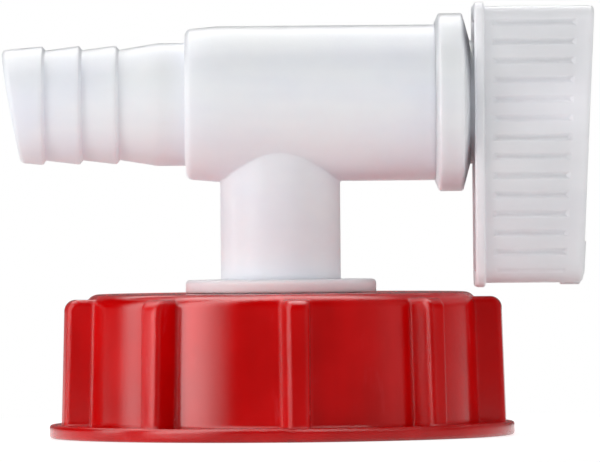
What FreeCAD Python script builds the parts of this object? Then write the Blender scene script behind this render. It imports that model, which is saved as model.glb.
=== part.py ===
import FreeCAD, Part
import math
import os

# A drain cock on a screw cap, in millimetres. The origin is on the cap's axis in the plane
# of its lower rim. +Z points up the stem, +X points along the barrel to the knob, and the
# hose spout points to -X.

Vector = FreeCAD.Vector

# Screw cap
cap_height = 23.9
thread_bore_radius = 30.6
thread_length = 14.0
chamber_step = 0.6
cap_wall = 2.6
cap_draft = 0.6
cap_shoulder_round = 2.2
crown_thickness = 2.6
crown_inner_round = 1.0
rim_beyond_ribs = 1.25
rim_height = 2.25
rim_round = 0.5
cap_turn = 4.3
grip_rib_count = 9
grip_rib_foot_proud = 4.35
grip_rib_top_proud = 4.2
grip_rib_top_drop = 0.8
grip_rib_top_round = 1.9
grip_rib_edge_round = 0.9
grip_rib_root_width = 5.4
grip_rib_crest_width = 3.3

# Fits
running_clearance = 0.08
plug_clearance = 0.05
seal_clearance = 0.02
seated_clearance = 0.03
axial_clearance = 0.15
cut_through = 1.0
point_tolerance = 0.001

# Stem, its flange and the spigot through the cap
stem_bore_radius = 7.0
stem_wall = 3.0
spigot_wall = 3.0
stem_length = 29.35
journal_step = 2.0
flange_overlap = 3.9
flange_thickness = 2.1
flange_round = 0.7
spigot_below_nut = 0.1
stem_root_round = 0.3

# Sealing disc, gasket and lock nut under the cap's crown
disc_side_clearance = 0.4
disc_thickness = 2.6
disc_lip = 0.4
gasket_width = 6.2
gasket_thickness = 2.8
gasket_seat_depth = 0.5
nut_wall = 4.0
nut_thickness = 4.1
nut_chamfer = 0.6

# Barrel
plug_radius = 10.0
barrel_wall = 2.95
barrel_end_draft = 0.5
barrel_taper_from_stem = 0.4
barrel_taper_blend = 8.0
barrel_end_round = 1.1
barrel_end_wall = 3.2

# Spout with its three barbs, measured from the barrel's inner end
spout_bore_radius = 7.0
spout_wall = 2.2
spout_root_step = 1.05
spout_root_length = 4.7
spout_root_blend = 6.0
spout_nose_length = 5.35
barb_count = 3
barb_pitch = 6.15
barb_last_crest = 11.5
barb_height = 0.65
barb_drop = 0.5
barb_land = 0.5
spout_tip_round = 0.9
spout_cut_angle = 9.6
spout_bore_chamfer = 0.6

# Retaining collar on the barrel's mouth
collar_start = 25.9
collar_grip = 2.05
collar_wall = 1.85
collar_lip = 1.9
collar_lead_run = 0.7
collar_lead_foot = 0.3
collar_end_slope = 1.2
collar_edge_round = 0.5
snap_bead_height = 0.45
snap_bead_from_start = 0.2
snap_bead_setback = 0.4

# Hollow plug
plug_end_gap = 0.4
plug_end_land = 1.9
plug_end_round = 0.4
plug_wall = 3.2
plug_bore_beyond_port = 2.4
plug_bore_cone = 3.0
plug_port_step = 0.4
plug_flange_inset = 0.7
plug_flange_thickness = 1.6
plug_neck_step = 0.3
drive_corner_inset = 1.1
drive_from_knob_end = 7.0
drive_chamfer = 0.8
stop_lug_angle = 30.0
stop_lug_depth = 1.5
stop_lug_inset = 0.2
turn_range = 90.0
stop_slack_angle = 1.5

# Seal rings
oring_section = 1.6
oring_groove_slack = 0.4
oring_from_port = 2.6

# Lever knob
knob_gap = 0.6
knob_depth = 19.95
knob_end_slope = 2.15
knob_above_axis = 15.7
knob_over_cap = 1.4
knob_side_wall = 1.7
knob_narrowing = 5.6
knob_upper_corner_round = 2.4
knob_lower_corner_round = 3.4
knob_end_round = 0.8
knob_wall = 2.0
knob_bead_width = 1.65
knob_bead_proud = 0.7
knob_bead_round = 0.5
boss_setback = 0.8
web_thickness = 1.6
web_count = 2
grip_groove_count = 14
grip_groove_width = 1.2
grip_groove_depth = 0.4
grip_groove_floor = 0.4
grip_groove_end_run = 0.7
grip_groove_from_bead = 1.28
grip_groove_from_end = 2.8
grip_first_groove_drop = 2.8
grip_last_groove_rise = 1.9
thumb_pad_height = 6.8
thumb_pad_inset = 0.3
thumb_pad_proud = 0.33
thumb_pad_chamfer = 1.8

# Radii that follow from the sizes above
chamber_radius = thread_bore_radius - chamber_step
cap_foot_radius = thread_bore_radius + cap_wall
cap_top_radius = cap_foot_radius - cap_draft
grip_rib_foot_radius = cap_foot_radius + grip_rib_foot_proud
grip_rib_top_radius = cap_top_radius + grip_rib_top_proud
rim_radius = grip_rib_foot_radius + rim_beyond_ribs
disc_radius = chamber_radius - disc_side_clearance
gasket_outer_radius = disc_radius - disc_lip
gasket_inner_radius = gasket_outer_radius - gasket_width
stem_radius = stem_bore_radius + stem_wall
spigot_radius = stem_bore_radius + spigot_wall
journal_radius = spigot_radius + journal_step
flange_radius = journal_radius + flange_overlap
plug_bore_wall = plug_radius + plug_clearance
barrel_radius = plug_bore_wall + barrel_wall
barrel_end_radius = barrel_radius - barrel_end_draft
collar_radius = barrel_radius + collar_wall
barb_valley_radius = spout_bore_radius + spout_wall
barb_crest_radius = barb_valley_radius + barb_height
spout_root_radius = barb_valley_radius + spout_root_step
plug_bore_radius = plug_radius - plug_wall
plug_port_radius = stem_bore_radius - plug_port_step
plug_flange_radius = barrel_radius - plug_flange_inset
stop_lug_radius = plug_flange_radius - stop_lug_inset
plug_neck_radius = plug_radius + plug_neck_step
oring_outer_radius = plug_bore_wall - seal_clearance
oring_groove_radius = oring_outer_radius - oring_section - seal_clearance
oring_groove_width = oring_section + oring_groove_slack

# Heights on the stem's axis
crown_underside = cap_height - crown_thickness
flange_underside = cap_height + axial_clearance
flange_top = flange_underside + flange_thickness
axis_height = flange_top + stem_length
disc_top = crown_underside - axial_clearance
disc_underside = disc_top - disc_thickness
nut_underside = disc_underside - nut_thickness
spigot_end = nut_underside - spigot_below_nut
gasket_top = disc_underside + gasket_seat_depth
gasket_underside = gasket_top - gasket_thickness

# Places along the barrel's axis
oring_offset = plug_port_radius + oring_from_port
plug_start = -oring_offset - oring_groove_width / 2 - plug_end_land
barrel_bore_end = plug_start - plug_end_gap
barrel_inner_end = barrel_bore_end - barrel_end_wall
spout_length = barb_last_crest + (barb_count - 1) * barb_pitch + spout_nose_length
plug_bore_end = plug_port_radius + plug_bore_beyond_port
snap_bead_width = collar_grip - snap_bead_setback - snap_bead_height - snap_bead_from_start
barrel_mouth = collar_start + collar_grip
plug_flange_start = barrel_mouth + axial_clearance
plug_flange_end = plug_flange_start + plug_flange_thickness
lip_start = plug_flange_end + axial_clearance
collar_end = lip_start + collar_lip
knob_start = collar_end + knob_gap
boss_face = knob_start + boss_setback

# Widths and heights of the knob
drive_width = math.sqrt(2) * (plug_neck_radius - drive_corner_inset)
drive_length = knob_depth - boss_setback - drive_from_knob_end
knob_top_width = 2 * (plug_neck_radius + knob_side_wall)
knob_bottom_width = knob_top_width - knob_narrowing
knob_below_axis = axis_height - cap_height - knob_over_cap
thumb_pad_width = knob_bottom_width - 2 * (knob_lower_corner_round + thumb_pad_inset)
grip_grooves_height = (
    knob_above_axis + knob_below_axis - grip_first_groove_drop - grip_last_groove_rise
)
grip_groove_pitch = grip_grooves_height / (grip_groove_count - 1)


def on_x(x, r):
    """Place a point of a profile that turns round the barrel's axis."""
    return Vector(x, 0, axis_height + r)


def on_z(r, z):
    """Place a point of a profile that turns round the stem's axis."""
    return Vector(r, 0, z)


def rounded_wire(corners):
    """Join corners (point, radius) by straight runs, with a tangent arc at each radius."""
    edges = []
    joints = []
    count = len(corners)
    for i, (point, radius) in enumerate(corners):
        before = corners[i - 1][0]
        after = corners[(i + 1) % count][0]
        back = (before - point).normalize()
        ahead = (after - point).normalize()
        if radius <= 0:
            joints.append((point, None, point))
            continue
        half = back.getAngle(ahead) / 2
        reach = radius / math.tan(half)
        inward = (back + ahead).normalize()
        middle = point + inward * (radius / math.sin(half) - radius)
        joints.append((point + back * reach, middle, point + ahead * reach))
    for i, (start, middle, end) in enumerate(joints):
        if middle is not None:
            edges.append(Part.Arc(start, middle, end).toShape())
        following = joints[(i + 1) % count][0]
        if end.distanceToPoint(following) > point_tolerance:
            edges.append(Part.LineSegment(end, following).toShape())
    return Part.Wire(edges)


def rounded_face(corners):
    """Fill a rounded outline."""
    return Part.Face(rounded_wire(corners))


def turned_about_stem(corners):
    """Turn an (r, z, rounding) outline once round the stem's axis."""
    face = rounded_face([(on_z(r, z), rounding) for r, z, rounding in corners])
    return face.revolve(Vector(0, 0, 0), Vector(0, 0, 1), 360)


def turned_about_barrel(corners):
    """Turn an (x, r, rounding) outline once round the barrel's axis."""
    face = rounded_face([(on_x(x, r), rounding) for x, r, rounding in corners])
    return face.revolve(Vector(0, 0, axis_height), Vector(1, 0, 0), 360)


def rod_along_barrel(radius, start, end):
    """A round bar on the barrel's axis."""
    return Part.makeCylinder(radius, end - start, on_x(start, 0), Vector(1, 0, 0))


def rod_along_stem(radius, bottom, top):
    """A round bar on the stem's axis."""
    return Part.makeCylinder(radius, top - bottom, Vector(0, 0, bottom), Vector(0, 0, 1))


def fused(shapes):
    """Join the lumps of one moulding."""
    return shapes[0].multiFuse(shapes[1:]).removeSplitter()


# Screw cap: skirt, crown, rim and grip ribs

def cap_shell():
    """The turned body of the cap, with its rim and rounded shoulder."""
    return turned_about_stem([
        (0, 0, 0),
        (rim_radius, 0, rim_round),
        (rim_radius, rim_height, rim_round),
        (cap_foot_radius, rim_height, 0),
        (cap_top_radius, cap_height, cap_shoulder_round),
        (0, cap_height, 0),
    ])


def rib_half_width(r):
    """Half a grip rib's width at a distance from the stem's axis."""
    share = (r - thread_bore_radius) / (grip_rib_foot_radius - thread_bore_radius)
    return (grip_rib_root_width + (grip_rib_crest_width - grip_rib_root_width) * share) / 2


def grip_rib():
    """One grip rib pointing to +X, narrower at its crest, with its outer edges rounded."""
    root = thread_bore_radius
    beyond = grip_rib_foot_radius + cut_through
    top = cap_height - grip_rib_top_drop
    section = rounded_face([
        (Vector(root, -rib_half_width(root), 0), 0),
        (Vector(beyond, -rib_half_width(beyond), 0), 0),
        (Vector(beyond, rib_half_width(beyond), 0), 0),
        (Vector(root, rib_half_width(root), 0), 0),
    ])
    envelope = turned_about_stem([
        (0, 0, 0),
        (grip_rib_foot_radius, 0, 0),
        (grip_rib_top_radius, top, grip_rib_top_round),
        (0, top, 0),
    ])
    envelope.rotate(Vector(0, 0, 0), Vector(0, 0, 1), 180)
    rib = section.extrude(Vector(0, 0, top)).common(envelope)
    outer_edges = [edge for edge in rib.Edges if lies_round_rib(edge)]
    return rib.makeFillet(min(grip_rib_edge_round, 0.4 * grip_rib_crest_width), outer_edges)


def lies_round_rib(edge):
    """Whether an edge borders a rib's flank at its crest or top."""
    middle = edge.valueAt((edge.FirstParameter + edge.LastParameter) / 2)
    on_flank = abs(abs(middle.y) - rib_half_width(middle.x)) < point_tolerance
    clear_of_root = middle.x > thread_bore_radius + point_tolerance
    return on_flank and clear_of_root and middle.z > point_tolerance


def make_screw_cap():
    """Red cap with an open threaded skirt and a hole in its crown for the stem."""
    ribs = []
    for i in range(grip_rib_count):
        rib = grip_rib()
        rib.rotate(Vector(0, 0, 0), Vector(0, 0, 1), cap_turn - 90 + i * 360 / grip_rib_count)
        ribs.append(rib)
    cap = fused([cap_shell()] + ribs)
    socket = turned_about_stem([
        (0, -cut_through, 0),
        (thread_bore_radius, -cut_through, 0),
        (thread_bore_radius, thread_length, 0),
        (chamber_radius, thread_length, 0),
        (chamber_radius, crown_underside, crown_inner_round),
        (0, crown_underside, 0),
    ])
    hole = rod_along_stem(journal_radius + running_clearance, 0, cap_height + cut_through)
    return cap.cut(socket).cut(hole)


# Tap body: spigot, flange, stem, barrel and spout in one moulding

def body_foot():
    """Flange on the crown, journal in the crown and spigot below it."""
    return turned_about_stem([
        (0, spigot_end, 0),
        (spigot_radius, spigot_end, 0),
        (spigot_radius, disc_top, 0),
        (journal_radius, disc_top, 0),
        (journal_radius, flange_underside, 0),
        (flange_radius, flange_underside, 0),
        (flange_radius, flange_top, flange_round),
        (0, flange_top, 0),
    ])


def body_barrel():
    """Barrel, a little smaller at its spout end, with the snap bead at its mouth."""
    bead_end = barrel_mouth - snap_bead_setback
    bead_start = bead_end - snap_bead_width
    bead_radius = barrel_radius + snap_bead_height
    slope = snap_bead_height
    return turned_about_barrel([
        (barrel_inner_end, 0, 0),
        (barrel_inner_end, barrel_end_radius, barrel_end_round),
        (-stem_radius - barrel_taper_from_stem, barrel_radius, barrel_taper_blend),
        (bead_start - slope, barrel_radius, 0),
        (bead_start, bead_radius, 0),
        (bead_end - slope, bead_radius, 0),
        (bead_end, barrel_radius, 0),
        (barrel_mouth, barrel_radius, 0),
        (barrel_mouth, 0, 0),
    ])


def body_spout():
    """Barbed hose spout, cut off aslant at its mouth."""
    overlap = barrel_end_wall / 2
    outline = [(barrel_inner_end + overlap, 0, 0)]
    outline.append((barrel_inner_end + overlap, spout_root_radius, 0))
    outline.append((barrel_inner_end - spout_root_length, spout_root_radius, spout_root_blend))
    for i in range(barb_count):
        crest = barrel_inner_end - barb_last_crest - i * barb_pitch
        outline.append((crest + barb_drop, barb_valley_radius, 0))
        outline.append((crest, barb_crest_radius, 0))
        outline.append((crest - barb_land, barb_crest_radius, 0))
    mouth = barrel_inner_end - spout_length
    lean = math.tan(math.radians(spout_cut_angle)) * barb_crest_radius
    outline.append((mouth - lean - cut_through, barb_valley_radius, 0))
    outline.append((mouth - lean - cut_through, 0, 0))
    spout = turned_about_barrel(outline).cut(beyond_spout_mouth())
    wall = barb_valley_radius - spout_bore_radius
    rim_edges = [edge for edge in spout.Edges if lies_on_spout_mouth(edge)]
    spout = spout.makeFillet(min(spout_tip_round, wall / 2), rim_edges)
    bore = rod_along_barrel(spout_bore_radius, mouth - 2 * spout_root_radius, barrel_bore_end)
    spout = spout.cut(bore)
    bore_edges = [edge for edge in spout.Edges if lies_on_spout_mouth(edge) and is_bore(edge)]
    return spout.makeChamfer(min(spout_bore_chamfer, wall / 4), bore_edges)


def beyond_spout_mouth():
    """Everything past the slanting plane of the spout's mouth."""
    reach = 2 * barrel_radius
    tool = Part.makeBox(2 * reach, 2 * reach, 2 * reach, Vector(-2 * reach, -reach, -reach))
    tool.rotate(Vector(0, 0, 0), Vector(0, 1, 0), -spout_cut_angle)
    tool.translate(on_x(barrel_inner_end - spout_length, 0))
    return tool


def lies_on_spout_mouth(edge):
    """Whether an edge lies in the slanting plane of the spout's mouth."""
    slope = math.tan(math.radians(spout_cut_angle))
    mouth = barrel_inner_end - spout_length
    points = edge.discretize(5)
    return all(abs(p.x + (p.z - axis_height) * slope - mouth) < point_tolerance for p in points)


def is_bore(edge):
    """Whether an edge of the spout's mouth runs round its bore."""
    middle = edge.valueAt((edge.FirstParameter + edge.LastParameter) / 2)
    return math.hypot(middle.y, middle.z - axis_height) < spout_bore_radius + point_tolerance


def stop_sector(inner, outer, start, end, first_angle, last_angle):
    """A ring sector round the barrel's axis; angle 0 points straight down."""
    face = rounded_face([
        (on_x(start, -inner), 0),
        (on_x(start, -outer), 0),
        (on_x(end, -outer), 0),
        (on_x(end, -inner), 0),
    ])
    face.rotate(on_x(0, 0), Vector(1, 0, 0), first_angle)
    return face.revolve(on_x(0, 0), Vector(1, 0, 0), last_angle - first_angle)


def stem_and_barrel():
    """Stem run up into the barrel, with a small fillet where they meet."""
    stem = rod_along_stem(stem_radius, flange_top - flange_thickness, axis_height)
    tee = fused([stem, body_barrel()])
    root_edges = [edge for edge in tee.Edges if lies_on_stem_and_barrel(edge)]
    return tee.makeFillet(stem_root_round, root_edges)


def lies_on_stem_and_barrel(edge):
    """Whether an edge is the seam between the stem and the barrel."""
    middle = edge.valueAt((edge.FirstParameter + edge.LastParameter) / 2)
    from_stem_axis = math.hypot(middle.x, middle.y)
    from_barrel_axis = math.hypot(middle.y, middle.z - axis_height)
    on_stem = abs(from_stem_axis - stem_radius) < point_tolerance
    return on_stem and abs(from_barrel_axis - barrel_radius) < point_tolerance


def make_tap_body():
    """White moulding with the inlet up the stem and the outlet through the spout."""
    body = fused([body_foot(), stem_and_barrel(), body_spout()])
    barrel_bore = rod_along_barrel(plug_bore_wall, barrel_bore_end, barrel_mouth + cut_through)
    spout_bore = rod_along_barrel(
        spout_bore_radius, barrel_inner_end - cut_through, barrel_bore_end + cut_through
    )
    stem_bore = rod_along_stem(stem_bore_radius, spigot_end - cut_through, axis_height)
    notch = stop_sector(
        plug_radius - cut_through,
        stop_lug_radius + running_clearance,
        barrel_mouth - stop_lug_depth - axial_clearance,
        barrel_mouth + cut_through,
        -stop_lug_angle / 2 - stop_slack_angle,
        turn_range + stop_lug_angle / 2 + stop_slack_angle,
    )
    groove = spigot_groove()
    return body.cut(barrel_bore).cut(spout_bore).cut(stem_bore).cut(notch).cut(groove)


def spigot_groove():
    """Groove round the spigot for its seal ring, at mid height of the disc."""
    middle = disc_underside + disc_thickness / 2
    bottom = middle - oring_groove_width / 2
    top = middle + oring_groove_width / 2
    ring = rod_along_stem(spigot_radius + cut_through, bottom, top)
    return ring.cut(rod_along_stem(oring_groove_radius, bottom, top))


# Pieces under the crown

def make_sealing_disc():
    """Disc that closes the container's neck, with a seat for the gasket."""
    bore = spigot_radius + plug_clearance
    return turned_about_stem([
        (bore, disc_underside, 0),
        (gasket_inner_radius - seated_clearance, disc_underside, 0),
        (gasket_inner_radius - seated_clearance, gasket_top, 0),
        (gasket_outer_radius + seated_clearance, gasket_top, 0),
        (gasket_outer_radius + seated_clearance, disc_underside, 0),
        (disc_radius, disc_underside, 0),
        (disc_radius, disc_top, crown_inner_round),
        (bore, disc_top, 0),
    ])


def make_neck_gasket():
    """Flat ring that seals the disc on the container's neck."""
    return turned_about_stem([
        (gasket_inner_radius, gasket_underside, 0),
        (gasket_outer_radius, gasket_underside, 0),
        (gasket_outer_radius, gasket_top, 0),
        (gasket_inner_radius, gasket_top, 0),
    ])


def make_lock_nut():
    """Hexagon nut on the spigot that holds the disc against the journal."""
    across_corners = 2 * (spigot_radius + nut_wall) / math.cos(math.radians(30))
    corners = []
    for i in range(6):
        angle = math.radians(60 * i)
        x = across_corners / 2 * math.cos(angle)
        y = across_corners / 2 * math.sin(angle)
        corners.append((Vector(x, y, nut_underside), 0))
    hexagon = rounded_face(corners).extrude(Vector(0, 0, nut_thickness))
    crown = turned_about_stem([
        (0, nut_underside, 0),
        (across_corners / 2 - nut_chamfer, nut_underside, 0),
        (across_corners / 2, nut_underside + nut_chamfer, 0),
        (across_corners / 2, disc_underside, 0),
        (0, disc_underside, 0),
    ])
    bore = rod_along_stem(
        spigot_radius + seated_clearance, nut_underside - cut_through, disc_underside + cut_through
    )
    return hexagon.common(crown).cut(bore)


# Pieces at the barrel's mouth

def make_retaining_collar():
    """Ring that snaps over the barrel's bead and keeps the plug's flange in."""
    bore = barrel_radius + seated_clearance
    bead_end = barrel_mouth - snap_bead_setback + seated_clearance
    bead_start = bead_end - snap_bead_width - 2 * seated_clearance
    bead_radius = bore + snap_bead_height
    return turned_about_barrel([
        (collar_start, bore, 0),
        (bead_start - snap_bead_height, bore, 0),
        (bead_start, bead_radius, 0),
        (bead_end - snap_bead_height, bead_radius, 0),
        (bead_end, bore, 0),
        (lip_start, bore, 0),
        (lip_start, plug_neck_radius + running_clearance, 0),
        (collar_end, plug_neck_radius + running_clearance, 0),
        (collar_end - collar_end_slope, collar_radius, collar_edge_round),
        (collar_start + collar_lead_run, collar_radius, collar_edge_round),
        (collar_start, barrel_radius + collar_lead_foot, 0),
    ])


def make_plug():
    """Hollow plug with a port in its side, open towards the spout."""
    outline = [(plug_start, 0, 0), (plug_start, plug_radius, plug_end_round)]
    for side in (-1, 1):
        start = side * oring_offset - oring_groove_width / 2
        end = side * oring_offset + oring_groove_width / 2
        outline += [(start, plug_radius, 0), (start, oring_groove_radius, 0)]
        outline += [(end, oring_groove_radius, 0), (end, plug_radius, 0)]
    outline += [
        (plug_flange_start, plug_radius, 0),
        (plug_flange_start, plug_flange_radius, 0),
        (plug_flange_end, plug_flange_radius, 0),
        (plug_flange_end, plug_neck_radius, 0),
        (boss_face, plug_neck_radius, 0),
        (boss_face, 0, 0),
    ]
    plug = turned_about_barrel(outline)
    lug = stop_sector(
        plug_neck_radius / 2,
        stop_lug_radius,
        plug_flange_start - stop_lug_depth,
        plug_flange_end,
        -stop_lug_angle / 2,
        stop_lug_angle / 2,
    )
    square = drive_square(drive_width, boss_face - cut_through, boss_face + drive_length)
    plug = fused([plug, lug, square])
    cavity = turned_about_barrel([
        (plug_start - cut_through, 0, 0),
        (plug_start - cut_through, plug_bore_radius, 0),
        (plug_bore_end, plug_bore_radius, 0),
        (plug_bore_end + plug_bore_cone, 0, 0),
    ])
    port = rod_along_stem(plug_port_radius, axis_height - plug_radius - cut_through, axis_height)
    return plug.cut(cavity).cut(port)


def drive_square(width, start, end):
    """Square bar on the barrel's axis, with its far corners chamfered."""
    bar = Part.makeBox(
        end - start, width, width, Vector(start, -width / 2, axis_height - width / 2)
    )
    reach = width / math.sqrt(2)
    trim = turned_about_barrel([
        (start, 0, 0),
        (start, reach, 0),
        (end - drive_chamfer, reach, 0),
        (end, reach - drive_chamfer, 0),
        (end, 0, 0),
    ])
    return bar.common(trim)


def make_plug_oring(side):
    """Seal ring in one of the plug's grooves."""
    middle = oring_outer_radius - oring_section / 2
    return Part.makeTorus(middle, oring_section / 2, on_x(side * oring_offset, 0), Vector(1, 0, 0))


def make_spigot_oring():
    """Seal ring in the spigot's groove, inside the disc's bore."""
    middle = oring_outer_radius - oring_section / 2
    height = disc_underside + disc_thickness / 2
    return Part.makeTorus(middle, oring_section / 2, Vector(0, 0, height), Vector(0, 0, 1))


# Lever knob

def knob_half_width(z):
    """Half the knob's width at a height over the axis."""
    share = (knob_above_axis - z) / (knob_above_axis + knob_below_axis)
    return (knob_top_width + (knob_bottom_width - knob_top_width) * share) / 2


def knob_end(z):
    """Where the sloping end face lies along x at a height over the axis."""
    share = (knob_above_axis - z) / (knob_above_axis + knob_below_axis)
    return knob_start + knob_depth - knob_end_slope * share


def knob_prism(grow, start, end):
    """The knob's front outline, made larger all round by grow, run along x."""
    upper_round = knob_upper_corner_round + grow
    lower_round = knob_lower_corner_round + grow
    top = knob_above_axis + grow
    bottom = -knob_below_axis - grow
    corners = [
        (-knob_half_width(knob_above_axis) - grow, top, upper_round),
        (knob_half_width(knob_above_axis) + grow, top, upper_round),
        (knob_half_width(-knob_below_axis) + grow, bottom, lower_round),
        (-knob_half_width(-knob_below_axis) - grow, bottom, lower_round),
    ]
    face = rounded_face([
        (Vector(start, y, axis_height + z), rounding) for y, z, rounding in corners
    ])
    return face.extrude(Vector(end - start, 0, 0))


def knob_end_tool(inset):
    """Everything beyond the sloping end face, moved inwards by inset."""
    reach = 2 * (knob_above_axis + knob_below_axis)
    rise = (knob_end(1) - knob_end(0)) * reach
    middle = knob_end(0) - inset
    corners = [
        (middle + rise, reach),
        (middle + reach, reach),
        (middle + reach, -reach),
        (middle - rise, -reach),
    ]
    face = rounded_face([(Vector(x, -reach, axis_height + z), 0) for x, z in corners])
    return face.extrude(Vector(0, 2 * reach, 0))


def knob_cavity():
    """The hollow behind the open side, crossed by the boss and the webs."""
    hollow = knob_prism(-knob_wall, knob_start - cut_through, knob_start + knob_depth)
    hollow = hollow.cut(knob_end_tool(knob_wall))
    hollow = hollow.cut(rod_along_barrel(plug_neck_radius, boss_face, knob_start + knob_depth))
    free_height = knob_below_axis - knob_wall - plug_neck_radius
    for i in range(web_count):
        height = axis_height - plug_neck_radius - free_height * (i + 1) / (web_count + 1)
        web = Part.makeBox(
            knob_depth,
            knob_top_width,
            web_thickness,
            Vector(boss_face, -knob_top_width / 2, height - web_thickness / 2),
        )
        hollow = hollow.cut(web)
    return hollow


def grip_groove(side, height):
    """One groove across a flank at a height over the axis, with sloping sides and ends."""
    start = knob_start + knob_bead_width + grip_groove_from_bead
    end = knob_end(height) - grip_groove_from_end
    slant = knob_half_width(1) - knob_half_width(0)
    outlines = []
    for level in (-1, 1):
        half = (grip_groove_width + level * (grip_groove_width - grip_groove_floor)) / 2
        run = level * grip_groove_end_run
        out = knob_half_width(height) + level * grip_groove_depth
        corners = [(start - run, half), (end + run, half), (end + run, -half), (start - run, -half)]
        outlines.append(rounded_wire([
            (Vector(x, side * (out + rise * slant), axis_height + height + rise), 0)
            for x, rise in corners
        ]))
    return Part.makeLoft(outlines, True, True)


def thumb_pad():
    """Raised pad that wraps the lower edge of the end face."""
    top = -knob_below_axis + thumb_pad_height
    bottom = -knob_below_axis - thumb_pad_proud
    back = knob_end(bottom) - thumb_pad_height / 2
    corners = [
        (back, top),
        (knob_end(top) + thumb_pad_proud, top),
        (knob_end(bottom) + thumb_pad_proud, bottom + thumb_pad_chamfer),
        (knob_end(bottom) + thumb_pad_proud - thumb_pad_chamfer / 2, bottom),
        (back, bottom),
    ]
    face = rounded_face([
        (Vector(x, -thumb_pad_width / 2, axis_height + z), 0) for x, z in corners
    ])
    return face.extrude(Vector(0, thumb_pad_width, 0))


def make_lever_knob():
    """Grooved lever knob, open towards the barrel, on the plug's square."""
    block = knob_prism(0, knob_start, knob_start + knob_depth + cut_through)
    block = block.cut(knob_end_tool(0))
    end_edges = [edge for edge in block.Edges if lies_on_end(edge)]
    block = block.makeFillet(knob_end_round, end_edges)
    bead = knob_prism(knob_bead_proud, knob_start, knob_start + knob_bead_width)
    bead_edges = [edge for edge in bead.Edges if is_flat_in_x(edge)]
    bead = bead.makeFillet(knob_bead_round, bead_edges)
    knob = fused([block, bead, thumb_pad()])
    knob = knob.cut(knob_cavity())
    drive = drive_square(
        drive_width + 2 * plug_clearance,
        boss_face - cut_through,
        boss_face + drive_length + axial_clearance,
    )
    knob = knob.cut(drive)
    neck = rod_along_barrel(
        plug_neck_radius + running_clearance, knob_start - cut_through, boss_face
    )
    knob = knob.cut(neck)
    grooves = []
    for i in range(grip_groove_count):
        height = knob_above_axis - grip_first_groove_drop - i * grip_groove_pitch
        grooves += [grip_groove(side, height) for side in (-1, 1)]
    return knob.cut(grooves)


def lies_on_end(edge):
    """Whether an edge runs round the knob's sloping end face."""
    return all(
        abs(vertex.X - knob_end(vertex.Z - axis_height)) < point_tolerance
        for vertex in edge.Vertexes
    )


def is_flat_in_x(edge):
    """Whether an edge lies in a plane square to the barrel's axis."""
    return edge.BoundBox.XLength < point_tolerance


parts = {
    "screw_cap": make_screw_cap(),
    "tap_body": make_tap_body(),
    "sealing_disc": make_sealing_disc(),
    "neck_gasket": make_neck_gasket(),
    "lock_nut": make_lock_nut(),
    "spigot_oring": make_spigot_oring(),
    "retaining_collar": make_retaining_collar(),
    "plug": make_plug(),
    "plug_oring_inner": make_plug_oring(-1),
    "plug_oring_outer": make_plug_oring(1),
    "lever_knob": make_lever_knob(),
}

os.makedirs("parts", exist_ok=True)
for name, shape in parts.items():
    solids = shape.Solids
    solid = solids[0] if len(solids) == 1 else Part.makeCompound(solids)
    print(name, len(solids), shape.isValid(), round(shape.Volume, 1), shape.BoundBox)
    solid.exportStep("parts/" + name + ".step")
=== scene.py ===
import math

import bmesh
import bpy
from mathutils import Matrix, Vector


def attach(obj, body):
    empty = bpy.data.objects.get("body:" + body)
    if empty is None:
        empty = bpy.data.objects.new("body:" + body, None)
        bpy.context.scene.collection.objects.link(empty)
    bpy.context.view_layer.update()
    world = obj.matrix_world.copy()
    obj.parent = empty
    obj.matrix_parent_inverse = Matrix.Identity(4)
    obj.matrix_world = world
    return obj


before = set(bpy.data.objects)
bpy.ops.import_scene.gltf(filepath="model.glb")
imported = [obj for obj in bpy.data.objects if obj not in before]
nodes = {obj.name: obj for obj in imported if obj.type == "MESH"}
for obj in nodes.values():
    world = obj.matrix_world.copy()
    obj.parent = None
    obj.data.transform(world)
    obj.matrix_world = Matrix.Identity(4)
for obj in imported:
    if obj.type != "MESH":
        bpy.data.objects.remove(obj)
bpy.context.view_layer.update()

mm = 0.001
print("frame loaded:", len(nodes), "pieces")


# Camera: level, square to the barrel, with a slight lean

cameraSet = {
    "aim": (3.25 * mm, 0.0, 34.2 * mm),
    "distance": 1.2,
    "azimuth": 0.0,
    "elevation": 0.0,
    "roll": 0.5,
    "frameWidth": 100.2 * mm,
    "sensor": 36.0,
    "clipEnd": 20.0,
}


def placeCamera(settings):
    azimuth = math.radians(settings["azimuth"])
    elevation = math.radians(settings["elevation"])
    toCamera = Vector((
        math.sin(azimuth) * math.cos(elevation),
        -math.cos(azimuth) * math.cos(elevation),
        math.sin(elevation),
    ))
    lens = bpy.data.cameras.new("camera")
    lens.sensor_width = settings["sensor"]
    lens.lens = settings["sensor"] * settings["distance"] / settings["frameWidth"]
    lens.clip_end = settings["clipEnd"]
    camera = bpy.data.objects.new("camera", lens)
    bpy.context.scene.collection.objects.link(camera)
    facing = (-toCamera).to_track_quat("-Z", "Y").to_matrix().to_4x4()
    roll = Matrix.Rotation(math.radians(-settings["roll"]), 4, "Z")
    position = Vector(settings["aim"]) + toCamera * settings["distance"]
    camera.matrix_world = Matrix.Translation(position) @ facing @ roll
    bpy.context.scene.camera = camera


placeCamera(cameraSet)
bpy.context.scene.view_settings.view_transform = "Standard"
print("camera placed")


# Shader maths: a signal is a node's output that can be used in sums

class Signal:
    def __init__(self, finish, socket):
        self.finish = finish
        self.socket = socket

    def math(self, operation, first, second):
        return self.finish.node("ShaderNodeMath", {"operation": operation}, {0: first, 1: second})

    def __add__(self, other):
        return self.math("ADD", self, other)

    def __radd__(self, other):
        return self.math("ADD", other, self)

    def __rsub__(self, other):
        return self.math("SUBTRACT", other, self)

    def __mul__(self, other):
        return self.math("MULTIPLY", self, other)

    def __abs__(self):
        return self.math("ABSOLUTE", self, 0.0)


# The colour sockets of a mix node share their names with others, so they go by place

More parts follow.
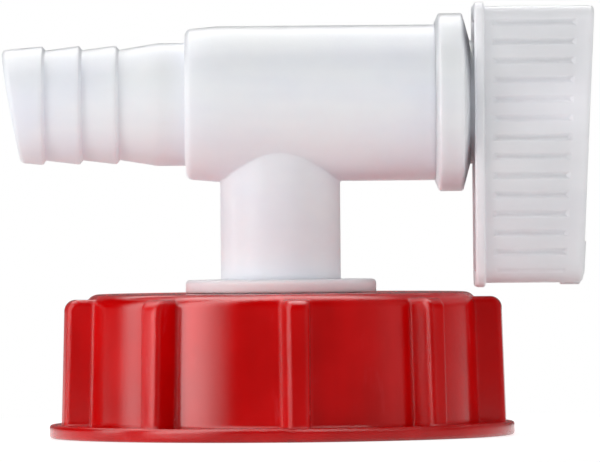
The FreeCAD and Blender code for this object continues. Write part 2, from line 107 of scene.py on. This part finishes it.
mixSockets = {"factor": 0, "first": 6, "second": 7, "result": 2}


# A finish builds the nodes of one material, or of the world

class Finish:
    def __init__(self, owner):
        owner.use_nodes = True
        self.owner = owner
        self.tree = owner.node_tree
        self.tree.nodes.clear()

    def node(self, kind, settings=None, inputs=None, output=0):
        made = self.tree.nodes.new(kind)
        for key, value in (settings or {}).items():
            setattr(made, key, value)
        for key, value in (inputs or {}).items():
            if isinstance(value, Signal):
                self.tree.links.new(value.socket, made.inputs[key])
            else:
                made.inputs[key].default_value = value
        return Signal(self, made.outputs[output]) if made.outputs else None

    def place(self):
        return self.node("ShaderNodeTexCoord", output="Object")

    def noise(self, scale, detail, roughness=0.5, distortion=0.0, stretch=(1, 1, 1)):
        mapped = self.node("ShaderNodeMapping", inputs={"Vector": self.place(), "Scale": stretch})
        return self.node("ShaderNodeTexNoise", inputs={
            "Vector": mapped,
            "Scale": scale,
            "Detail": detail,
            "Roughness": roughness,
            "Distortion": distortion,
        })

    def ramp(self, signal, low, high):
        return self.node("ShaderNodeMapRange", {"interpolation_type": "SMOOTHSTEP"}, {
            "Value": signal,
            "From Min": low,
            "From Max": high,
        })

    def blend(self, factor, first, second):
        return self.node(
            "ShaderNodeMix",
            {"data_type": "RGBA"},
            {mixSockets["factor"]: factor, mixSockets["first"]: first, mixSockets["second"]: second},
            mixSockets["result"],
        )

    def rounded(self, radius):
        return self.node("ShaderNodeBevel", {"samples": 4}, {"Radius": radius})

    def edge(self, radius, low, high):
        flat = self.node("ShaderNodeNewGeometry", output="Normal")
        dot = self.node(
            "ShaderNodeVectorMath",
            {"operation": "DOT_PRODUCT"},
            {0: self.rounded(radius), 1: flat},
            "Value",
        )
        return self.ramp(1 - dot, low, high)

    def bump(self, height, depth, strength, radius):
        return self.node("ShaderNodeBump", inputs={
            "Height": height,
            "Distance": depth,
            "Strength": strength,
            "Normal": self.rounded(radius),
        })

    def close(self, inputs):
        shader = self.node("ShaderNodeBsdfPrincipled", inputs=inputs)
        self.node("ShaderNodeOutputMaterial", inputs={"Surface": shader})
        return self.owner


def paint(material, *names):
    for name in names:
        for materialSlot in nodes[name].material_slots:
            materialSlot.material = material


# Red polyethylene of the cap

redSet = {
    "deep": (0.53, 0.0, 0.0, 1.0),
    "bright": (0.70, 0.0, 0.001, 1.0),
    # Pink of the edge and streak marks: partly scuff wear, partly a painted highlight and a painted
    # reflection
    "wornAndHighlight": (0.72, 0.10, 0.12, 1.0),
    "cloud": {"scale": 55.0, "detail": 4.0},
    "flow": {"scale": 160.0, "detail": 2.0, "stretch": (1, 1, 0.18)},
    "grain": {"scale": 1500.0, "detail": 2.0},
    "scuff": {"scale": 420.0, "detail": 5.0, "roughness": 0.7},
    "streak": {
        "scale": 210.0,
        "detail": 6.0,
        "roughness": 0.65,
        "distortion": 0.6,
        "stretch": (1, 1, 0.3),
    },
    "scuffRange": (0.56, 0.70),
    "streakRange": (0.58, 0.72),
    "streakClouds": (0.42, 0.62),
    "edge": {"radius": 0.9 * mm, "low": 0.02, "high": 0.30},
    "toneRange": (0.35, 0.68),
    "toneShares": (0.6, 0.4),
    # Edge marks are partly wear and partly a painted highlight; streak marks are partly wear and
    # partly a painted reflection
    "edgeWearAndHighlight": 0.45,
    "streakWearAndReflection": 0.22,
    "roughLow": 0.10,
    "roughRange": 0.12,
    "scuffRough": 0.03,
    "streakRough": 0.10,
    "reliefShares": (0.6, 1.6),
    "relief": {"depth": 0.03 * mm, "strength": 0.5, "radius": 0.9 * mm},
    "specular": 0.32,
}


def makeRed(settings):
    finish = Finish(bpy.data.materials.new("redPolyethylene"))
    cloud = finish.noise(**settings["cloud"])
    flow = finish.noise(**settings["flow"])
    grain = finish.noise(**settings["grain"])
    scuff = finish.ramp(finish.noise(**settings["scuff"]), *settings["scuffRange"])
    edge = finish.edge(**settings["edge"])
    streak = finish.ramp(finish.noise(**settings["streak"]), *settings["streakRange"])
    marks = streak * finish.ramp(cloud, *settings["streakClouds"])
    cloudShare, flowShare = settings["toneShares"]
    tone = finish.ramp(cloud * cloudShare + flow * flowShare, *settings["toneRange"])
    base = finish.blend(tone, settings["deep"], settings["bright"])
    # Painted highlight on scuffed patches of every edge, and painted reflection in vertical streaks,
    # partly wear, all blended to the pink
    wearAndHighlight = edge * scuff * settings["edgeWearAndHighlight"] + marks * settings["streakWearAndReflection"]
    plain = settings["roughLow"] + cloud * settings["roughRange"]
    rough = plain + scuff * settings["scuffRough"] + marks * settings["streakRough"]
    grainRelief, flowRelief = settings["reliefShares"]
    relief = grain * grainRelief + flow * flowRelief
    return finish.close({
        "Base Color": finish.blend(wearAndHighlight, base, settings["wornAndHighlight"]),
        "Roughness": rough,
        "Normal": finish.bump(relief, **settings["relief"]),
        "Specular IOR Level": settings["specular"],
    })


# Natural polyethylene, milky and a little bluish

naturalSet = {
    "name": "naturalPolyethylene",
    "shade": (0.85, 0.865, 0.94, 1.0),
    "light": (0.90, 0.915, 0.985, 1.0),
    "scatter": 2.5 * mm,
}
knobSet = {
    "name": "knobPolyethylene",
    "shade": (0.825, 0.825, 0.855, 1.0),
    "light": (0.885, 0.885, 0.915, 1.0),
    "scatter": 4.0 * mm,
}
milkySet = {
    "cloud": {"scale": 70.0, "detail": 4.0},
    "flow": {"scale": 260.0, "detail": 2.0, "stretch": (0.15, 1, 1)},
    "grain": {"scale": 1900.0, "detail": 2.0},
    "edge": {"radius": 0.3 * mm, "low": 0.02, "high": 0.35},
    "toneRange": (0.32, 0.68),
    "toneShares": (0.7, 0.3),
    # Share of the light tone on every edge and crease: a painted highlight
    "edgeWearAndHighlight": 0.35,
    "roughLow": 0.30,
    "roughRange": 0.12,
    "relief": {"depth": 0.02 * mm, "strength": 0.5, "radius": 0.3 * mm},
    "specular": 0.30,
    "scatterTint": (1.0, 0.95, 0.95),
}


def makeMilky(settings, surface):
    finish = Finish(bpy.data.materials.new(settings["name"]))
    cloud = finish.noise(**surface["cloud"])
    flow = finish.noise(**surface["flow"])
    grain = finish.noise(**surface["grain"])
    edge = finish.edge(**surface["edge"])
    cloudShare, flowShare = surface["toneShares"]
    tone = finish.ramp(cloud * cloudShare + flow * flowShare, *surface["toneRange"])
    base = finish.blend(tone, settings["shade"], settings["light"])
    # Painted highlight: every edge and crease is blended evenly towards the light tone
    return finish.close({
        "Base Color": finish.blend(edge * surface["edgeWearAndHighlight"], base, settings["light"]),
        "Roughness": surface["roughLow"] + cloud * surface["roughRange"],
        "Normal": finish.bump(grain + flow, **surface["relief"]),
        "Specular IOR Level": surface["specular"],
        "Subsurface Weight": 1.0,
        "Subsurface Radius": surface["scatterTint"],
        "Subsurface Scale": settings["scatter"],
    })


# Black seal rubber

rubberSet = {
    "dark": (0.014, 0.014, 0.015, 1.0),
    "light": (0.035, 0.035, 0.037, 1.0),
    "grain": {"scale": 900.0, "detail": 5.0, "roughness": 0.7},
    "roughLow": 0.55,
    "roughRange": 0.2,
    "relief": {"depth": 0.03 * mm, "strength": 0.6, "radius": 0.2 * mm},
}


def makeRubber(settings):
    finish = Finish(bpy.data.materials.new("sealRubber"))
    grain = finish.noise(**settings["grain"])
    return finish.close({
        "Base Color": finish.blend(grain, settings["dark"], settings["light"]),
        "Roughness": settings["roughLow"] + grain * settings["roughRange"],
        "Normal": finish.bump(grain, **settings["relief"]),
    })


red = makeRed(redSet)
natural = makeMilky(naturalSet, milkySet)
knobWhite = makeMilky(knobSet, milkySet)
rubber = makeRubber(rubberSet)
paint(red, "screw_cap")
paint(natural, "tap_body", "retaining_collar", "plug", "sealing_disc", "lock_nut")
paint(knobWhite, "lever_knob")
paint(rubber, "neck_gasket", "spigot_oring", "plug_oring_inner", "plug_oring_outer")
print("finishes painted")


def addObject(name, bm, material):
    mesh = bpy.data.meshes.new(name)
    bm.to_mesh(mesh)
    bm.free()
    mesh.materials.append(material)
    added = bpy.data.objects.new(name, mesh)
    bpy.context.scene.collection.objects.link(added)
    return added


# Thread inside the cap, a ridge of almost two turns

threadSet = {
    "wall": 30.6 * mm,
    "sunk": 0.3 * mm,
    "height": 1.2 * mm,
    "rootHalf": 1.5 * mm,
    "crestHalf": 0.6 * mm,
    "pitch": 5.0 * mm,
    "start": 2.6 * mm,
    "turns": 1.85,
    "stepsPerTurn": 96,
}


def makeThread(settings):
    bm = bmesh.new()
    root = settings["wall"] + settings["sunk"]
    crest = settings["wall"] - settings["height"]
    corners = [
        (root, -settings["rootHalf"]),
        (crest, -settings["crestHalf"]),
        (crest, settings["crestHalf"]),
        (root, settings["rootHalf"]),
    ]
    ring = [bm.verts.new((r, 0, settings["start"] + z)) for r, z in corners]
    face = bm.faces.new(ring)
    bmesh.ops.spin(
        bm,
        geom=[face] + list(face.edges) + ring,
        cent=(0, 0, 0),
        axis=(0, 0, 1),
        dvec=(0, 0, settings["pitch"] / settings["stepsPerTurn"]),
        angle=math.tau * settings["turns"],
        steps=round(settings["turns"] * settings["stepsPerTurn"]),
        use_duplicate=False,
    )
    bmesh.ops.recalc_face_normals(bm, faces=bm.faces)
    thread = addObject("neck_thread_ridge", bm, red)
    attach(thread, "cap")


makeThread(threadSet)
print("thread made")


# Floor: white to the camera, with the object's shadow near it

floorSet = {
    "half": 4.0,
    "front": -0.16,
    "level": -0.1 * mm,
    "colour": (0.96, 0.96, 0.96, 1.0),
    "seen": (0.60, 0.60, 0.60, 1.0),
    "glow": 0.80,
    "fade": (0.06, 0.15),
}


def rayKinds(finish, *kinds):
    return sum(finish.node("ShaderNodeLightPath", output="Is %s Ray" % kind) for kind in kinds)


def makeFloor(settings):
    finish = Finish(bpy.data.materials.new("paleFloor"))
    plain = finish.node("ShaderNodeBsdfDiffuse", inputs={"Color": settings["colour"]})
    seen = finish.node("ShaderNodeBsdfDiffuse", inputs={"Color": settings["seen"]})
    glow = finish.node("ShaderNodeEmission", inputs={"Strength": settings["glow"]})
    near = finish.node("ShaderNodeAddShader", inputs={0: seen, 1: glow})
    far = finish.node("ShaderNodeEmission", inputs={"Strength": 1.0})
    reach = finish.node("ShaderNodeVectorMath", {"operation": "LENGTH"}, {0: finish.place()}, "Value")
    fade = finish.ramp(reach, *settings["fade"])
    backdrop = finish.node("ShaderNodeMixShader", inputs={0: fade, 1: near, 2: far})
    looking = rayKinds(finish, "Camera", "Glossy", "Transmission")
    top = finish.node("ShaderNodeMixShader", inputs={0: looking, 1: plain, 2: backdrop})
    below = finish.node("ShaderNodeNewGeometry", output="Backfacing")
    clear = finish.node("ShaderNodeBsdfTransparent")
    whole = finish.node("ShaderNodeMixShader", inputs={0: below, 1: top, 2: clear})
    finish.node("ShaderNodeOutputMaterial", inputs={"Surface": whole})
    bm = bmesh.new()
    bmesh.ops.create_grid(bm, x_segments=1, y_segments=1, size=settings["half"])
    for vert in bm.verts:
        vert.co.y = max(vert.co.y, settings["front"])
        vert.co.z = settings["level"]
    addObject("floor", bm, finish.owner)


makeFloor(floorSet)


# World: white to the camera, soft panels to mirrored rays, a belt of light to all others

worldSet = {
    "light": 0.34,
    "belt": {"edges": (0.15, 0.55), "bright": 0.42},
    "overhead": {"up": 0.93, "back": 0.36, "edges": (0.72, 0.95), "bright": 8.0},
    "panels": {
        "backLeft": {"edges": (-200, -190, -158, -146), "bright": 0.15},
        "farLeft": {"edges": (-112, -96, -92, -84), "bright": 5.0},
        "left": {"edges": (-74, -66, -56, -26), "bright": 9.0},
        "right": {"edges": (22, 75, 80, 95), "bright": 0.4},
        "backRight": {"edges": (106, 118, 190, 200), "bright": 0.15},
    },
}


def makeWorld(settings):
    world = bpy.data.worlds.new("studio")
    bpy.context.scene.world = world
    finish = Finish(world)
    direction = finish.node("ShaderNodeTexCoord", output="Generated")
    across, depth, rise = [
        finish.node("ShaderNodeSeparateXYZ", inputs={"Vector": direction}, output=axis)
        for axis in ("X", "Y", "Z")
    ]
    turned = across.math("ARCTAN2", across, depth * -1.0) * math.degrees(1.0)
    overhead = settings["overhead"]
    aloft = rise * overhead["up"] + depth * overhead["back"]
    reflected = finish.ramp(aloft, *overhead["edges"]) * overhead["bright"]
    for panel in settings["panels"].values():
        start, full, fading, end = panel["edges"]
        shown = finish.ramp(turned, start, full) * (1 - finish.ramp(turned, fading, end))
        reflected = reflected + shown * panel["bright"]
    belt = settings["belt"]
    soft = settings["light"] + (1 - finish.ramp(abs(rise), *belt["edges"])) * belt["bright"]
    camera = rayKinds(finish, "Camera")
    mirrored = rayKinds(finish, "Glossy", "Transmission")
    others = mirrored * reflected + (1 - mirrored) * soft
    background = finish.node("ShaderNodeBackground", inputs={
        "Color": (1.0, 1.0, 1.0, 1.0),
        "Strength": camera + (1 - camera) * others,
    })
    finish.node("ShaderNodeOutputWorld", inputs={"Surface": background})


makeWorld(worldSet)


# Soft lamps, which no mirrored ray sees

lampSet = {
    "top": {
        "place": (-0.10, -0.15, 0.80),
        "size": (0.7, 0.5),
        "power": 0.65,
        "colour": (0.96, 0.97, 1.0),
    },
    "left": {
        "place": (-0.90, -0.40, 0.08),
        "size": (0.25, 0.2),
        "power": 3.7,
        "colour": (0.97, 0.97, 1.0),
    },
    "front": {
        "place": (0.05, -1.15, -0.14),
        "size": (1.8, 0.4),
        "power": 2.5,
        "colour": (0.92, 0.95, 1.0),
    },
    "back": {
        "place": (-0.30, 1.10, 0.25),
        "size": (0.6, 0.4),
        "power": 1.2,
        "colour": (1.0, 1.0, 1.0),
    },
    "right": {
        "place": (0.86, -0.31, 0.00),
        "size": (0.3, 0.4),
        "power": 1.6,
        "colour": (1.0, 1.0, 1.0),
    },
}
lampTarget = (0.0, 0.0, 35.0 * mm)


def makeLamps(lamps, target):
    for name, settings in lamps.items():
        light = bpy.data.lights.new(name, "AREA")
        light.shape = "RECTANGLE"
        light.size, light.size_y = settings["size"]
        light.energy = settings["power"]
        light.color = settings["colour"]
        lamp = bpy.data.objects.new(name, light)
        bpy.context.scene.collection.objects.link(lamp)
        place = Vector(settings["place"])
        facing = (Vector(target) - place).to_track_quat("-Z", "Y").to_matrix().to_4x4()
        lamp.matrix_world = Matrix.Translation(place) @ facing
        lamp.visible_glossy = False


makeLamps(lampSet, lampTarget)
print("stage lit")
